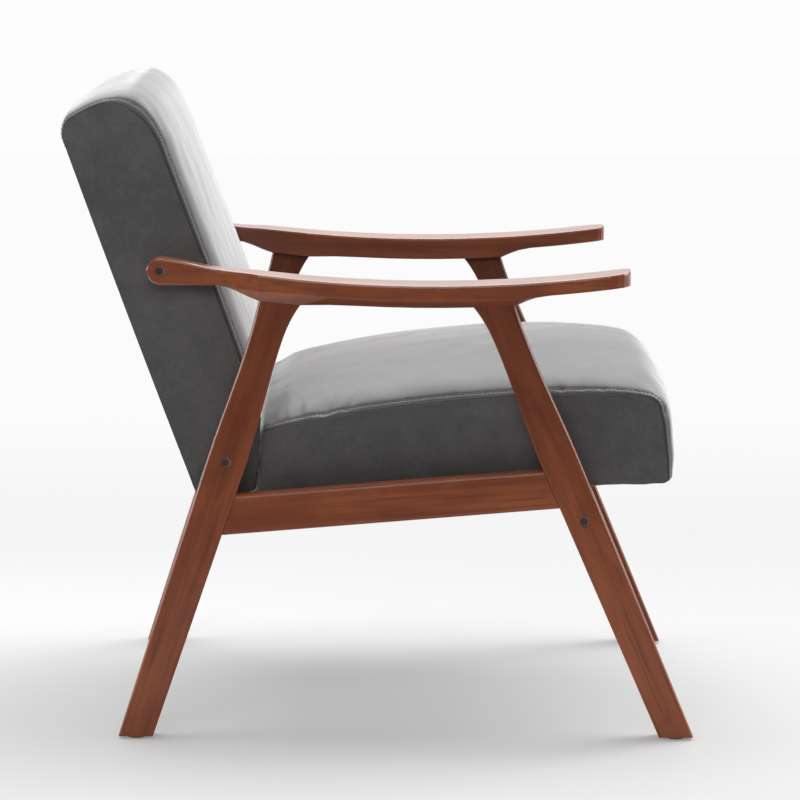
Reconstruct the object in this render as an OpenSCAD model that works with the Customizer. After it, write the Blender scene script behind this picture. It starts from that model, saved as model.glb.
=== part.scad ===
// Accent chair with a wooden side frame and two padded leather cushions.
// The chair faces +X, its left side is +Y, and it stands on z = 0 in millimetres.
// Each side frame is a rear leg, a front leg and a seat rail under one sculpted armrest.
// The back pad is bolted between the frames, and the seat pad drops in between the rails.

/* [Overall] */
// Width across the armrests
chair_w = 640; // [560:5:760]
// Height of the armrest's top at its lowest point
arm_h = 555.5; // [530:0.5:590]
// Thickness of the plastic glide under each foot
glide_h = 3.5; // [2:0.5:8]
// Diameter of a glide
glide_d = 20; // [12:1:28]

/* [Legs] */
// Thickness of the legs, across the chair
leg_t = 34; // [26:1:44]
// How far a leg's outer face lies inside the armrest's outer edge
leg_inset = 14; // [8:1:20]
// Middle of the rear foot, behind the middle of the side frame
rear_foot_x = 293.5; // [270:0.1:320]
// Middle of the front foot, ahead of the middle of the side frame
front_foot_x = 362.5; // [340:0.5:390]
// Forward lean of the rear leg, in degrees from upright
rear_lean = 18.25; // [15:0.05:21]
// Backward lean of the front leg, in degrees from upright
front_lean = 23.1; // [20:0.1:26]
// How much steeper a leg stands above the seat rail, in degrees
upper_set = 0.7; // [0:0.1:2]
// Width of a leg at the floor, seen from the side
foot_w = 42; // [36:0.5:50]
// Width of a leg at the seat rail, its widest place
shoulder_w = 49.5; // [46:0.5:60]
// Width of a leg at its neck, below the armrest
neck_w = 40.5; // [38:0.5:48]
// Height of the neck below the armrest's underside
neck_drop = 58; // [40:1:80]
// Flare of a leg's top towards the middle of the chair
flare_in = 7.5; // [2:0.5:14]
// Flare of a leg's top away from the middle of the chair
flare_out = 2; // [0:0.5:6]
// Rounding of a leg's outside edges
leg_round = 4.5; // [2:0.5:7]
// Rounding of a leg's edges that face the rail
leg_ease = 2; // [1:0.5:3]

/* [Armrests] */
// Width of the armrest at its broadest
arm_w = 63; // [54:1:76]
// Thickness of the armrest between the legs
arm_t = 28; // [24:0.5:34]
// Extra thickness of the armrest over the rear leg
arm_swell = 4; // [0:0.5:7]
// Thickness of the armrest's outer edge and of its front
arm_edge_t = 18; // [12:0.5:22]
// Radius of the long curve along the armrest's top
arm_curve_r = 1767; // [1400:1:2600]
// Place of the lowest point of the top, ahead of the middle of the side frame
arm_low_x = 62; // [30:1:90]
// Place of the armrest's front tip, ahead of the middle of the side frame
arm_tip_x = 301.5; // [270:0.5:340]
// Length of the sweep under the armrest, ahead of the front leg
arm_sweep = 40; // [20:1:70]
// Radius of the rounded rear end that carries the back pad
arm_end_r = 16.7; // [14:0.1:20]
// Thickness of the rear end across the chair
arm_end_w = 32; // [26:1:38]
// Plan radius of the tip's outer corner
tip_outer_r = 25; // [10:1:30]
// Plan radius of the tip's inner corner
tip_inner_r = 13; // [6:1:20]
// Rounding of the armrest's top edges
arm_round = 3; // [1:0.5:5]

/* [Seat rails] */
// Height of the seat pad's underside at the middle of the side frame
seat_base_h = 282.2; // [265:0.1:300]
// Rise of the seat rails towards the front, in degrees
seat_tilt = 4.75; // [2:0.05:7]
// Height of a side rail
rail_h = 47.5; // [40:0.5:56]
// Thickness of a side rail
rail_t = 24; // [18:1:28]
// How far a side rail reaches below the seat pad
rail_drop = 15.8; // [14:0.1:22]
// How far a side rail's face lies inside the leg's face
rail_step = 1; // [0.5:0.5:3]
// Rounding of a side rail's long edges
rail_round = 4; // [1:0.5:6]
// Width of the ledge strip that carries the seat pad
cleat_w = 44; // [38:1:50]
// Thickness of the ledge strip
cleat_t = 14; // [10:1:16]
// Height of the front stretcher, along the slope of the legs
stretcher_h = 60; // [50:1:62]
// Thickness of the front stretcher
stretcher_t = 22; // [18:1:26]
// Rounding of the front stretcher's long edges
stretcher_round = 4; // [1:0.5:6]

/* [Seat pad] */
// Gap between the seat pad and a leg's inner face
seat_side_gap = 10; // [6:1:16]
// Rear face of the pad, behind the middle of the side frame
seat_rear = 141; // [130:0.5:150]
// Front face of the pad at its sides, ahead of the middle of the side frame
seat_front = 355.5; // [330:0.5:375]
// Height of the pad's side panel at its highest place
seat_side_h = 119; // [100:1:135]
// Drop of the side panel's seam at the rear
seat_seam_drop = 17.5; // [8:0.5:24]
// Crown of the pad's top above its side seams
seat_crown = 53.5; // [20:0.5:60]
// Crown of the pad's front face
seat_front_crown = 18; // [4:1:24]
// How far the pad's sides draw in between its corners
seat_draw = 4; // [0:0.5:8]
// Radius of the pad's top front corner, seen from the side
seat_nose_r = 32; // [20:1:45]
// Thickness of the plywood board in the pad
board_t = 12; // [9:1:15]

/* [Back pad] */
// Backward lean of the back pad, in degrees from upright
back_lean = 20.3; // [17:0.1:23]
// Height of the back pad above the rear leg's bolt, along its lean
back_up = 452; // [400:1:480]
// Reach of the back pad below the rear leg's bolt, along its lean
back_down = 50; // [40:1:60]
// Distance from the bolt to the pad's front seam
back_fore = 60.5; // [54:0.5:68]
// Distance from the bolt to the pad's rear face
back_aft = 52; // [46:0.5:58]
// Crown of the pad's front face
back_crown = 22; // [10:1:32]
// Crown of the pad's top
back_top_crown = 25; // [10:1:32]
// Crown of the pad's rear face
back_rear_crown = 1; // [1:0.5:8]
// How far the pad's sides draw in between its corners
back_draw = 3; // [0:0.5:6]
// Gap between the back pad's heel and the seat pad
heel_gap = 3; // [2:0.5:8]
// Thickness of the boards in the back pad's frame
frame_t = 18; // [15:1:22]
// Distance from the bolt to the front of the back pad's frame
frame_fore = 22; // [16:1:28]
// Thickness of the elastic webbing
web_t = 1.5; // [1:0.25:2.5]
// Width of a webbing strap
web_w = 50; // [36:2:60]

/* [Covers] */
// Thickness of the leather covers
cover_t = 1.5; // [1:0.25:2.5]
// Width of the cover that is turned in under the seat board
cover_turn = 26; // [18:1:32]
// Thickness of the dust cover under the seat
dust_t = 0.8; // [0.5:0.1:1.2]

/* [Hardware] */
// Height of the bolt through the rear leg
rear_bolt_h = 339.5; // [330:0.5:350]
// Distance of the bolt through the front leg below the seat pad
front_bolt_drop = 33.9; // [33:0.1:40]
// Diameter of the bolts
bolt_d = 6; // [5:0.5:8]
// Diameter of a bolt's head
head_d = 12; // [10.5:0.5:12.5]
// Thickness of a bolt's head
head_t = 5; // [4:0.5:6]
// Diameter of the sunk hole for a bolt's head and cap
sink_d = 13.5; // [13.5:0.5:15]
// Depth of the sunk hole
sink_depth = 11; // [10:0.5:13]
// Thickness of the cap over a bolt
cap_t = 2; // [1.5:0.5:2.5]
// How far a cap lies below the wood's face
cap_depth = 2.5; // [1.5:0.5:3]
// Diameter of the wooden dowels
dowel_d = 8; // [6:1:10]
// Length of a dowel between an armrest and a leg
arm_dowel_l = 28; // [20:1:34]
// Length of a dowel between a rail and a leg
rail_dowel_l = 36; // [24:1:40]
// Diameter of a wood screw
screw_d = 4; // [3:0.5:5]

/* [Clearances] */
// Glue line or running fit between two wooden faces
glue_gap = 0.2; // [0.1:0.05:0.4]
// Clearance round a dowel, bolt or nut in its hole, on the radius
hole_gap = 0.15; // [0.1:0.05:0.3]
// Clearance between a soft piece and its neighbour
soft_gap = 0.3; // [0.2:0.05:0.6]

/* [Hidden] */
$fn = 48;

wood = "#8a4b2f";
ply = "#c9a46e";
beech = "#d8b98c";
steel = "#9a9ca0";
bronze = "#4a2e2b";
leather = "#4c4b4c";
foam = "#e8dfc4";

// Planes across the chair, measured from its middle
arm_out = chair_w / 2;
arm_in = arm_out - arm_w;
end_out = arm_in + arm_end_w;
leg_out = arm_out - leg_inset;
leg_in = leg_out - leg_t;
rail_out = leg_out - rail_step;
rail_in = rail_out - rail_t;
back_half = arm_in - soft_gap;
seat_half = leg_in - seat_side_gap;

// A leg is its foot's middle, its lean, and the way to the middle of the chair
rear = [-rear_foot_x, rear_lean, 1];
front = [front_foot_x, front_lean, -1];

function mix(a, b, t) = a + (b - a) * t;
function clamp01(t) = min(1, max(0, t));
function ease(t) = let (s = clamp01(t)) s * s * (3 - 2 * s);
function turned(a, r, c) = [for (t = a) c + r * [cos(t), sin(t)]];
function turns(a, b, n) = [for (i = [0 : n]) mix(a, b, i / n)];

// The widest place of both legs lies just above the seat rail
rail_top = rail_h - rail_drop;
shoulder_over = 10;
shoulder_h = seat_base_h + rail_top / cos(seat_tilt) + shoulder_over
  + tan(seat_tilt) * (front_foot_x - seat_base_h * tan(front_lean));

// Middle line of a leg at a height
function leg_c(leg, z) = leg[0] + leg[2] * (z <= shoulder_h
  ? (z - glide_h) * tan(leg[1])
  : (shoulder_h - glide_h) * tan(leg[1]) + (z - shoulder_h) * tan(leg[1] - upper_set));

// Long curve of the armrest's top, without the dip at its waist
function arc_top(x) = arm_h + pow(x - arm_low_x, 2) / (2 * arm_curve_r);

// The top of a leg, under the armrest
function leg_thick(leg) = leg[2] > 0 ? arm_t + arm_swell : arm_t;
function leg_top(leg) = let (x0 = leg_c(leg, arm_h - arm_t))
  arc_top(leg_c(leg, arc_top(x0) - leg_thick(leg))) - leg_thick(leg);
function leg_w(leg, z) = z <= shoulder_h
  ? mix(foot_w, shoulder_w, (z - glide_h) / (shoulder_h - glide_h))
  : mix(shoulder_w, neck_w, ease((z - shoulder_h) / (leg_top(leg) - neck_drop - shoulder_h)));
function leg_flare(leg, z) = pow(clamp01((z - leg_top(leg) + neck_drop) / neck_drop), 3);
// Edge of a leg that faces the middle of the chair, and the other one
function leg_near(leg, z) = leg_c(leg, z)
  + leg[2] * (leg_w(leg, z) / 2 + flare_in * leg_flare(leg, z));
function leg_far(leg, z) = leg_c(leg, z)
  - leg[2] * (leg_w(leg, z) / 2 + flare_out * leg_flare(leg, z));
// The armrest's seat on each leg, from rear to front
rear_seat = [leg_far(rear, leg_top(rear)), leg_near(rear, leg_top(rear))];
front_seat = [leg_near(front, leg_top(front)), leg_far(front, leg_top(front))];

// Bolts through the legs, and the armrest's rear end on the middle of the back pad
rear_bolt = [leg_c(rear, rear_bolt_h), rear_bolt_h];
front_bolt_h = (seat_base_h - front_bolt_drop + tan(seat_tilt) * (front_foot_x
  + glide_h * tan(front_lean))) / (1 + tan(seat_tilt) * tan(front_lean));
front_bolt = [leg_c(front, front_bolt_h), front_bolt_h];
end_fore = 5;
end_guess = arm_h + 12;
end_x = rear_bolt[0] - (end_guess - rear_bolt_h) * tan(back_lean) + end_fore / cos(back_lean);
arm_bolt = [end_x, arc_top(end_x) - arm_end_r];

// Waist of the armrest, between its rear end and the rear leg
waist_x = rear_seat[0] - 50;
waist_dip = 2.2;
waist_half = 45;
// The outer edge flares out from the waist over the rear leg
bulge_start = rear_seat[0] - 62;
bulge_end = rear_seat[0] + 21;
bow_rear = 7;
bow_front = 4;
bow_rear_l = 165;
bow_front_l = 240;

function arm_bulge(x) = ease((x - bulge_start) / (bulge_end - bulge_start));
function arm_top(x) = let (t = min(1, abs(x - waist_x) / waist_half))
  arc_top(x) - waist_dip * pow(1 - t * t, 2);
function seat_z(leg, x) = arc_top(x) - leg_thick(leg);
function on_line(a, b, x) = mix(a[1], b[1], (x - a[0]) / (b[0] - a[0]));
rear_seat_z = [seat_z(rear, rear_seat[0]), seat_z(rear, rear_seat[1])];
front_seat_z = [seat_z(front, front_seat[0]), seat_z(front, front_seat[1])];
swell_l = 50;
// Underside of the armrest: flat on the legs, swept up behind and ahead of them
function arm_under(x) =
  x < waist_x ? arm_bolt[1] - arm_end_r :
  x < rear_seat[0] ? mix(arm_bolt[1] - arm_end_r, rear_seat_z[0],
    ease((x - waist_x) / (rear_seat[0] + 12 - waist_x)) / ease((rear_seat[0] - waist_x)
    / (rear_seat[0] + 12 - waist_x))) :
  x < rear_seat[1] ? on_line([rear_seat[0], rear_seat_z[0]], [rear_seat[1], rear_seat_z[1]], x) :
  x < front_seat[0] ? arc_top(x) - arm_t - arm_swell * (1 - ease((x - rear_seat[1]) / swell_l)) :
  x < front_seat[1] ? on_line([front_seat[0], front_seat_z[0]], [front_seat[1], front_seat_z[1]], x) :
  arc_top(x) - mix(arm_t, arm_edge_t, sin(90 * clamp01((x - front_seat[1]) / arm_sweep)));

// Outer and inner edges of the armrest, seen from above
function corner_in(x, r) = x > arm_tip_x - r ? r - sqrt(max(0, r * r - pow(x - arm_tip_x + r, 2))) : 0;
function arm_far_y(x) = end_out + (arm_out - bow_rear - end_out) * arm_bulge(x)
  + (x < arm_low_x ? bow_rear * (1 - pow(min(1, (arm_low_x - x) / bow_rear_l), 2)) :
  bow_rear - bow_front * pow((x - arm_low_x) / bow_front_l, 2)) - corner_in(x, tip_outer_r);
function arm_near_y(x) = arm_in + corner_in(x, tip_inner_r);

// One cross-section of the armrest as points across and up
function arm_section(x, top, under, round) = let (
  far = arm_far_y(x),
  near = arm_near_y(x),
  r = min(round, (top - under) * 0.45, (far - near) * 0.3),
  k = arm_bulge(x),
  low = mix(under + r, max(under + 1, top - arm_edge_t), k),
  bevel = mix(far - r, min(leg_out, far - r), k)
) concat(
  [[x, near + r / 2, under], [x, near, under + r / 2]],
  [for (p = turned([180, 135, 90], r, [near + r, top - r])) [x, p[0], p[1]]],
  [for (p = turned([90, 45, 0], r, [far - r, top - r])) [x, p[0], p[1]]],
  [[x, far, low], [x, mix(far, bevel, 0.06), mix(low, under, 0.1)], [x, bevel, under]]
);

// Stations along the armrest, with none inside the flat seats on the legs
tip_stations = [for (t = [0, 20, 40, 58, 74, 84]) arm_tip_x - tip_outer_r * (1 - sin(t))];
arm_stations = concat(
  [for (i = [0 : 8]) mix(end_x, rear_seat[0], i / 9)],
  [rear_seat[0], rear_seat[1]],
  [for (i = [1 : 5]) mix(rear_seat[1], front_seat[0], i / 6)],
  [front_seat[0], front_seat[1]],
  [for (s = [0.15, 0.35, 0.6, 1]) front_seat[1] + arm_sweep * s],
  [for (i = [1 : 2]) mix(front_seat[1] + arm_sweep, tip_stations[0], i / 3)],
  tip_stations
);
tip_inset = 1.5;
arm_rings_rearwards = concat(
  [for (t = [10, 30, 50, 70]) arm_section(end_x - arm_end_r * cos(t),
    arm_bolt[1] + arm_end_r * sin(t), arm_bolt[1] - arm_end_r * sin(t), arm_round)],
  [for (x = arm_stations) arm_section(x, arm_top(x), arm_under(x), arm_round)],
  [arm_section(arm_tip_x, arm_top(arm_tip_x) - tip_inset, arm_under(arm_tip_x) + tip_inset, arm_round)]
);
arm_rings = [for (i = [len(arm_rings_rearwards) - 1 : -1 : 0]) arm_rings_rearwards[i]];

// A solid through rings of points that all run the same way round
module loft(rings) {
  n = len(rings[0]);
  last = len(rings) - 1;
  polyhedron(
    points = [for (ring = rings) each ring],
    faces = concat(
      [[for (i = [0 : n - 1]) i]],
      [for (k = [0 : last - 1], i = [0 : n - 1]) let (j = (i + 1) % n)
        [k * n + i, (k + 1) * n + i, (k + 1) * n + j]],
      [for (k = [0 : last - 1], i = [0 : n - 1]) let (j = (i + 1) % n)
        [k * n + i, (k + 1) * n + j, k * n + j]],
      [[for (i = [n - 1 : -1 : 0]) last * n + i]]
    ),
    convexity = 6
  );
}

// Rounded rectangle round its middle, for the sections of rails
function rounded(w, h, r) = concat(
  turned([0, 30, 60, 90], r, [w / 2 - r, h / 2 - r]),
  turned([90, 120, 150, 180], r, [r - w / 2, h / 2 - r]),
  turned([180, 210, 240, 270], r, [r - w / 2, r - h / 2]),
  turned([270, 300, 330, 360], r, [w / 2 - r, r - h / 2])
);

// Leg: rings of a rounded section from the foot to the armrest's underside
function leg_line(leg) = leg[2] > 0
  ? [[rear_seat[0], rear_seat_z[0]], [rear_seat[1], rear_seat_z[1]]]
  : [[front_seat[0], front_seat_z[0]], [front_seat[1], front_seat_z[1]]];
function leg_ring(leg, z) = let (
  near = leg_near(leg, z),
  far = leg_far(leg, z),
  line = leg_line(leg),
  slope = (line[1][1] - line[0][1]) / (line[1][0] - line[0][0]),
  tilt = slope * ease((z - leg_top(leg) + neck_drop) / neck_drop),
  x0 = min(near, far),
  x1 = max(near, far),
  r0 = leg[2] > 0 ? leg_round : leg_ease,
  r1 = leg[2] > 0 ? leg_ease : leg_round,
  plan = concat(
    turned([270, 300, 330, 360], r1, [x1 - r1, leg_in + r1]),
    turned([0, 30, 60, 90], r1, [x1 - r1, leg_out - r1]),
    turned([90, 120, 150, 180], r0, [x0 + r0, leg_out - r0]),
    turned([180, 210, 240, 270], r0, [x0 + r0, leg_in + r0])
  )
) [for (p = plan) [p[0], p[1], z >= leg_top(leg)
  ? on_line(line[0], line[1], p[0]) - glue_gap : z + tilt * (p[0] - (x0 + x1) / 2)]];
function leg_levels(leg) = let (t = leg_top(leg), neck = t - neck_drop) concat(
  [glide_h, shoulder_h],
  [for (i = [1 : 5]) mix(shoulder_h, neck, i / 5)],
  [for (f = [0.25, 0.45, 0.62, 0.76, 0.88]) neck + neck_drop * f],
  [t]
);
module leg_shape(leg) {
  loft([for (z = leg_levels(leg)) leg_ring(leg, z)]);
}

// Pads are lofted across the chair from outlines of [along, up, push along, push up, draw]
pad_rows = [1, 0.94, 0.83, 0.66, 0.46, 0.24, 0, -0.24, -0.46, -0.66, -0.83, -0.94, -1];
function bulge(y) = 1 - pow(abs(y), 2.3);
function pad_ring(outline, half, draw, y) = [for (p = outline)
  [p[0] + p[2] * bulge(y), y * (half - draw * p[4]), p[1] + p[3] * bulge(y)]];
function middle_of(outline) = [for (k = [0, 1])
  (max([for (p = outline) p[k]]) + min([for (p = outline) p[k]])) / 2];
function pad_side(outline, half, draw, y) = let (c = middle_of(outline)) [for (p = outline)
  [mix(c[0], p[0], 0.72), y * (half - draw * 0.6), mix(c[1], p[1], 0.72)]];
module pad(outline, half, draw) {
  loft(concat(
    [pad_side(outline, half, draw, 1)],
    [for (y = pad_rows) pad_ring(outline, half, draw, y)],
    [pad_side(outline, half, draw, -1)]
  ));
}

// Seat pad's outline at its side, drawn in by d, in the tilted frame of the seat
seat_foot_r = 14;
seat_toe_r = 4;
seat_heel_r = 9;
seat_slant = 18;
seat_peak = 0.55;
function seat_seam(s) = seat_side_h
  - seat_seam_drop * pow((s / (seat_rear + seat_front) + seat_rear / (seat_rear + seat_front)
  - seat_peak) / seat_peak, 2);
function seat_back_s(t) = seat_slant * (t / seat_side_h - 0.5) - seat_rear;
function seat_crown_at(s) = let (u = (s + seat_rear) / (seat_front + seat_rear))
  seat_crown * (1 - 0.33 * pow(abs(2 * u - 0.95), 3));
function seat_outline(d) = let (
  heel_t = seat_seam(-seat_rear) - seat_heel_r,
  nose = [seat_front - seat_nose_r, seat_seam(seat_front - seat_nose_r) - seat_nose_r]
) concat(
  [for (p = turned([190, 215, 240, 270], seat_foot_r - d, [seat_back_s(seat_foot_r) + seat_foot_r,
    seat_foot_r])) [p[0], p[1], 0, 0, 0.3]],
  [[mix(-seat_rear, seat_front, 0.5), d, 0, 0, 0.6]],
  [for (p = turned([270, 315, 360], seat_toe_r - min(d, 3), [seat_front - seat_toe_r,
    seat_toe_r + max(0, d - 3)])) [p[0] - max(0, d - 3), p[1],
    seat_front_crown * 0.2 * max(0, p[0] - seat_front + seat_toe_r), 0, 0.2]],
  [for (f = [0.25, 0.5, 0.75]) [seat_front - d + 1.5 * sin(180 * f), mix(seat_toe_r, nose[1], f),
    seat_front_crown, 0, 0.6 * sin(180 * f)]],
  [for (a = turns(0, 90, 6)) [nose[0] + (seat_nose_r - d) * cos(a),
    nose[1] + (seat_nose_r - d) * sin(a),
    seat_front_crown * pow(cos(a), 1.65), seat_crown_at(nose[0]) * pow(sin(a), 1.1), 0.1]],
  [for (i = [1 : 10]) let (s = mix(nose[0], seat_heel_r - seat_rear, i / 10.6))
    [s, seat_seam(s) - d, 0, seat_crown_at(s), sin(180 * i / 11)]],
  [for (a = [90, 120, 150, 180]) let (u = cos(a - 90))
    [seat_back_s(heel_t) + seat_heel_r + (seat_heel_r - d) * cos(a),
    heel_t + (seat_heel_r - d) * sin(a), 0, seat_crown_at(-seat_rear) * u, 0.2]],
  [for (f = [0.3, 0.65]) let (t = mix(heel_t, seat_foot_r, f)) [seat_back_s(t) + d, t, 0, 0, 0.6]]
);

// Back pad's outline at its side, drawn in by d, in the leaning frame of the back
back_head_r = 15;
back_nose_r = 42;
back_heel_r = 12;
back_foot_r = 12;
back_dip = 5;
// The heel stands parallel to the rear face of the seat pad, a gap behind it
function heel_line(t) = in_back(from_seat([seat_back_s(t) - heel_gap, t]));
heel_a = heel_line(20);
heel_b = heel_line(80);
function heel_at(b) = mix(heel_a[0], heel_b[0], (b - heel_a[1]) / (heel_b[1] - heel_a[1]));
heel_slope = (heel_b[0] - heel_a[0]) / (heel_b[1] - heel_a[1]);
heel_top = heel_a[1] + (back_fore - heel_a[0]) / heel_slope;
function back_crown_at(b) = back_crown * ease((b - heel_top) / 90);
function back_outline(d) = let (
  nose = [back_fore - back_nose_r, back_up - back_dip - back_nose_r],
  k = sqrt(1 + heel_slope * heel_slope)
) concat(
  [for (p = turned([215, 240, 270], back_heel_r - d, [back_heel_r - back_aft,
    back_heel_r - back_down])) [p[0], p[1], 0, 0, 0.2]],
  [let (b = d - back_down) [heel_at(-back_down) - back_foot_r - d * k, b, 0, 0, 0.2]],
  [let (b = back_foot_r - back_down) [heel_at(b) - d * k, b, 0, 0, 0.2]],
  [let (b = mix(back_foot_r - back_down, heel_top, 0.5)) [heel_at(b) - d * k, b, 0, 0, 0.5]],
  [[back_fore - d - 3, heel_top - 3 / heel_slope + d * 0.5, 0, 0, 0.5]],
  [for (i = [1 : 9]) let (b = mix(heel_top, nose[1], i / 9.8))
    [back_fore - d - 0.8 * pow(cos(180 * i / 10), 2), b, back_crown_at(b), 0, sin(180 * i / 10)]],
  [for (a = turns(0, 90, 6)) [nose[0] + (back_nose_r - d) * cos(a),
    nose[1] + (back_nose_r - d) * sin(a),
    back_crown * pow(cos(a), 0.45), back_top_crown * pow(sin(a), 1.1), 0.1]],
  [for (f = [0.35, 0.7]) [mix(nose[0], back_head_r - back_aft, f),
    back_up - back_dip * (1 - sin(90 * f)) - d, 0, back_top_crown * mix(1, 0.39, f), 0.4]],
  [for (a = [90, 120, 150, 180]) [back_head_r - back_aft + (back_head_r - d) * cos(a),
    back_up - back_head_r + (back_head_r - d) * sin(a), back_rear_crown * 0.5 * cos(a),
    back_top_crown * 0.39 * sin(a), 0.1]],
  [for (f = [0.15, 0.38, 0.62, 0.85, 1]) [d - back_aft - 1.4 * (1 - pow(2 * f - 1, 2)),
    mix(back_up - back_head_r, back_heel_r - back_down, f),
    -back_rear_crown * sin(180 * f), 0, mix(0.2, 1, sin(180 * f))]]
);

// The frame inside the back pad, and the screws that join it
frame_back = -frame_fore;
frame_top = back_up - back_nose_r + 4;
frame_low = max(6 - back_down + cover_t,
  heel_a[1] + (frame_fore + 2 * cover_t + 3 * soft_gap - heel_a[0]) / heel_slope);
stile_out = back_half - back_draw - cover_t - 2 * soft_gap;
stile_in = stile_out - frame_t;
frame_rails = [frame_low, mix(frame_low, frame_top - frame_t, 0.52), frame_top - frame_t];
spacer_d = 18;
frame_screw_a = [frame_back / 2, frame_fore / 2];
insert_l = 14;
insert_d = 10;

// The board inside the seat pad
board_low = cover_t + soft_gap;
board_top = board_low + board_t;
board_half = seat_half - seat_draw - cover_t - 2 * soft_gap;
board_rear = seat_back_s(seat_foot_r) + seat_foot_r - 1;
board_front = seat_front - cover_t - seat_toe_r * 0.4 - 2 * soft_gap;
seat_bolt_y = rail_in - cleat_w + 12;
seat_bolt_s = [for (f = [0.09, 0.62]) mix(-seat_rear, seat_front, f)];
tee_d = 8;
tee_flange = 18;
tee_flange_t = 1.2;

// Places children in the shared frame, its origin under the middle of the whole chair
function from_back(p) = [rear_bolt[0] + p[0] * cos(back_lean) - p[1] * sin(back_lean),
  rear_bolt[1] + p[0] * sin(back_lean) + p[1] * cos(back_lean)];
rear_reach = max([for (p = back_outline(0)) -from_back([p[0] + p[2], p[1] + p[3]])[0]]);
front_reach = max(front_foot_x + foot_w / 2,
  max([for (p = seat_outline(0)) from_seat([p[0] + p[2], p[1] + p[3]])[0]]));
middle_x = (rear_reach - front_reach) / 2;
module placed() {
  translate([middle_x, 0, 0]) children();
}
// The right side mirrors the left one
module on_side(side) {
  placed() mirror([0, side > 0 ? 0 : 1, 0]) children();
}
module both_sides() {
  for (side = [1, -1]) on_side(side) children();
}
// The tilted frame of the seat and the leaning frame of the back
module seat_frame() {
  translate([0, 0, seat_base_h]) rotate([0, -seat_tilt, 0]) children();
}
module back_frame() {
  translate([rear_bolt[0], 0, rear_bolt[1]]) rotate([0, -back_lean, 0]) children();
}
function in_seat(p) = let (d = p - [0, seat_base_h])
  [d[0] * cos(seat_tilt) + d[1] * sin(seat_tilt), d[1] * cos(seat_tilt) - d[0] * sin(seat_tilt)];
function from_seat(p) = [p[0] * cos(seat_tilt) - p[1] * sin(seat_tilt),
  seat_base_h + p[0] * sin(seat_tilt) + p[1] * cos(seat_tilt)];
function in_back(p) = let (d = p - rear_bolt)
  [d[0] * cos(back_lean) + d[1] * sin(back_lean), d[1] * cos(back_lean) - d[0] * sin(back_lean)];

// A round bar across the chair, from one plane to another
module cross_bar(at, y0, y1, d) {
  translate([at[0], y0, at[1]]) rotate([-90, 0, 0]) cylinder(h = y1 - y0, d = d);
}

// Bolts from the outside face inwards, one set for each side
module bolt(at, face, tip) {
  head = face - sink_depth;
  difference() {
    union() {
      cross_bar(at, tip, head + 1, bolt_d);
      cross_bar(at, head, head + head_t, head_d);
    }
    translate([at[0], head + head_t - 3, at[1]]) rotate([-90, 0, 0]) cylinder(h = 4, d = 4.6, $fn = 6);
  }
}
module bolt_bore(at, face, tip) {
  cross_bar(at, tip, face - sink_depth + 1, bolt_d + 2 * hole_gap);
  cross_bar(at, face - sink_depth, face + 2, sink_d);
}
module cap(at, face) {
  cross_bar(at, face - cap_depth - cap_t, face - cap_depth, sink_d - 2 * hole_gap);
}

// Wooden side frame
arm_dowel_x = [-12, 12];
module arm_dowel(leg, x, extra) {
  at = leg_c(leg, leg_top(leg)) + x;
  line = leg_line(leg);
  z = on_line(line[0], line[1], at) - glue_gap / 2;
  translate([at, (leg_in + leg_out) / 2, z - arm_dowel_l / 2 - extra])
    cylinder(h = arm_dowel_l + 2 * extra, d = dowel_d + (extra > 0 ? 2 * hole_gap : 0));
}
module arm_dowels_at(leg, extra) {
  for (x = arm_dowel_x) arm_dowel(leg, x, extra);
}

// Ends of a rail lie parallel to the legs' edges, a gap before them
rail_mid = (rail_h / 2) - rail_drop;
module between_legs(gap, y0, y1) {
  low = seat_base_h - 2 * rail_h;
  high = shoulder_h;
  translate([0, y1, 0]) rotate([90, 0, 0]) linear_extrude(height = y1 - y0) polygon([
    [leg_near(rear, low) + gap, low],
    [leg_near(front, low) - gap, low],
    [leg_near(front, high) - gap, high],
    [leg_near(rear, high) + gap, high]
  ]);
}
function rail_end(leg, t) = let (z = from_seat([leg_near(leg, seat_base_h), t])[1])
  in_seat([leg_near(leg, z), z])[0];
module rail_dowel(leg, t, extra) {
  s = rail_end(leg, t);
  l = rail_dowel_l + 2 * extra;
  seat_frame() translate([s - l / 2, (rail_in + rail_out) / 2, t]) rotate([0, 90, 0])
    cylinder(h = l, d = dowel_d + (extra > 0 ? 2 * hole_gap : 0));
}
module rail_dowels_at(leg, extra) {
  for (f = [0.28, 0.72]) rail_dowel(leg, rail_h * f - rail_drop, extra);
}

module armrest() {
  difference() {
    loft(arm_rings);
    bolt_bore(arm_bolt, end_out, arm_in - 1);
    arm_dowels_at(rear, 1);
    arm_dowels_at(front, 1);
  }
}
module armrest_left() {
  color(wood) on_side(1) armrest();
}
module armrest_right() {
  color(wood) on_side(-1) armrest();
}

// A glide is a plastic disc with a nail that goes up into the foot
glide_nail_d = 3;
glide_nail_l = 12;
module glide(leg, extra) {
  translate([leg[0], (leg_in + leg_out) / 2, 0]) {
    if (extra == 0) cylinder(h = glide_h, d = glide_d);
    cylinder(h = glide_h + glide_nail_l + extra, d = glide_nail_d + 2 * extra);
  }
}
module foot_glides() {
  color(beech) both_sides() {
    glide(rear, 0);
    glide(front, 0);
  }
}

module rear_leg() {
  difference() {
    leg_shape(rear);
    bolt_bore(rear_bolt, leg_out, leg_in - 1);
    arm_dowels_at(rear, 1);
    rail_dowels_at(rear, 1);
    glide(rear, hole_gap);
  }
}
module rear_leg_left() {
  color(wood) on_side(1) rear_leg();
}
module rear_leg_right() {
  color(wood) on_side(-1) rear_leg();
}

module front_leg() {
  difference() {
    leg_shape(front);
    bolt_bore(front_bolt, leg_out, leg_in - 1);
    arm_dowels_at(front, 1);
    rail_dowels_at(front, 1);
    stretcher_dowels_at(1);
    glide(front, hole_gap);
  }
}
module front_leg_left() {
  color(wood) on_side(1) front_leg();
}
module front_leg_right() {
  color(wood) on_side(-1) front_leg();
}

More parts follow.
